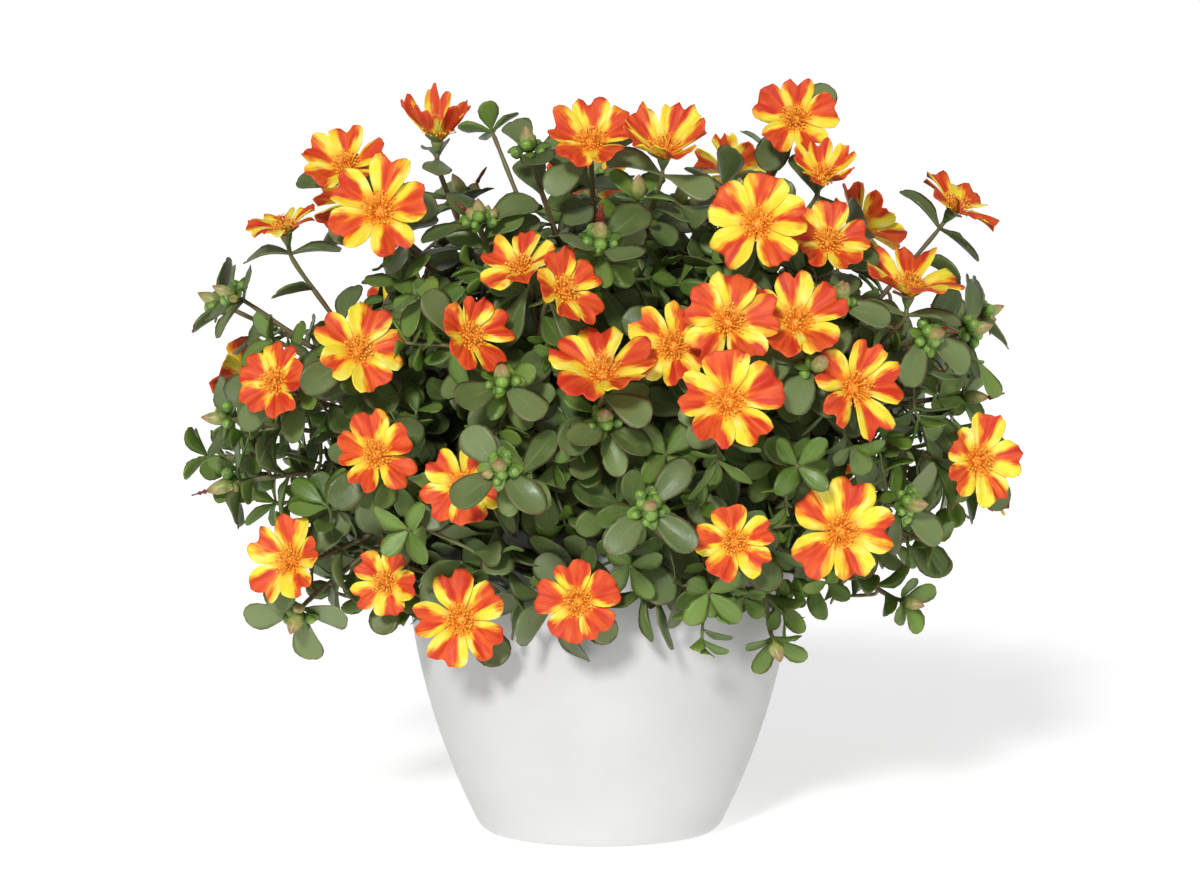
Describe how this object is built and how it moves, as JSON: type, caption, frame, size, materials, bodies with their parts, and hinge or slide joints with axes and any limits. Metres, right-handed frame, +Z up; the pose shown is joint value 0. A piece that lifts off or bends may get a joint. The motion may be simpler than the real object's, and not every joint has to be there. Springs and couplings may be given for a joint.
{
  "type": "potted portulaca",
  "caption": "Flowering portulaca in a tapered round pot: leafy branching stems stand in the soil and carry striped blooms, buds and spatulate leaves in a spreading mound.",
  "frame": {"origin": "centre of the pot's flat underside, which is where the pot's axis meets the surface it stands on", "axes": "+Z up along the pot's axis; the plant's front faces -Y; +X is to the right as seen from the front"},
  "size_m": [0.3767, 0.3474, 0.3385],
  "materials": {
    "white_plastic": "satin",
    "potting_soil": "matte",
    "stem_and_leaf": "satin",
    "petal": "matte"
  },
  "bodies": {
    "root": {"pot": "white_plastic", "soil": "potting_soil", "stem_front_low_left": "stem_and_leaf", "stem_front_middle": "stem_and_leaf", "stem_front_low_right": "stem_and_leaf", "stem_left": "stem_and_leaf", "stem_top_left": "stem_and_leaf", "stem_centre_left": "stem_and_leaf", "stem_top": "stem_and_leaf", "stem_centre_right": "stem_and_leaf", "stem_right_middle": "stem_and_leaf", "stem_top_right": "stem_and_leaf", "stem_right": "stem_and_leaf", "stem_back_left": "stem_and_leaf", "stem_back_middle": "stem_and_leaf", "stem_back_right": "stem_and_leaf", "bloom_01": "petal", "bloom_02": "petal", "bloom_03": "petal", "bloom_04": "petal", "bloom_05": "petal", "bloom_06": "petal", "bloom_07": "petal", "bloom_08": "petal", "bloom_09": "petal", "bloom_10": "petal", "bloom_11": "petal", "bloom_12": "petal", "bloom_13": "petal", "bloom_14": "petal", "bloom_15": "petal", "bloom_16": "petal", "bloom_17": "petal", "bloom_18": "petal", "bloom_19": "petal", "bloom_20": "petal", "bloom_21": "petal", "bloom_22": "petal", "bloom_23": "petal", "bloom_24": "petal", "bloom_25": "petal", "bloom_26": "petal", "bloom_27": "petal", "bloom_28": "petal", "bloom_29": "petal", "bloom_30": "petal", "bloom_31": "petal", "bloom_32": "petal", "bloom_33": "petal", "bloom_34": "petal", "bloom_35": "petal", "bloom_36": "petal", "bloom_37": "petal", "bloom_38": "petal", "bloom_39": "petal", "bloom_40": "petal", "bloom_41": "petal", "bloom_42": "petal", "bloom_43": "petal", "bloom_44": "petal"}
  },
  "joints": []
}
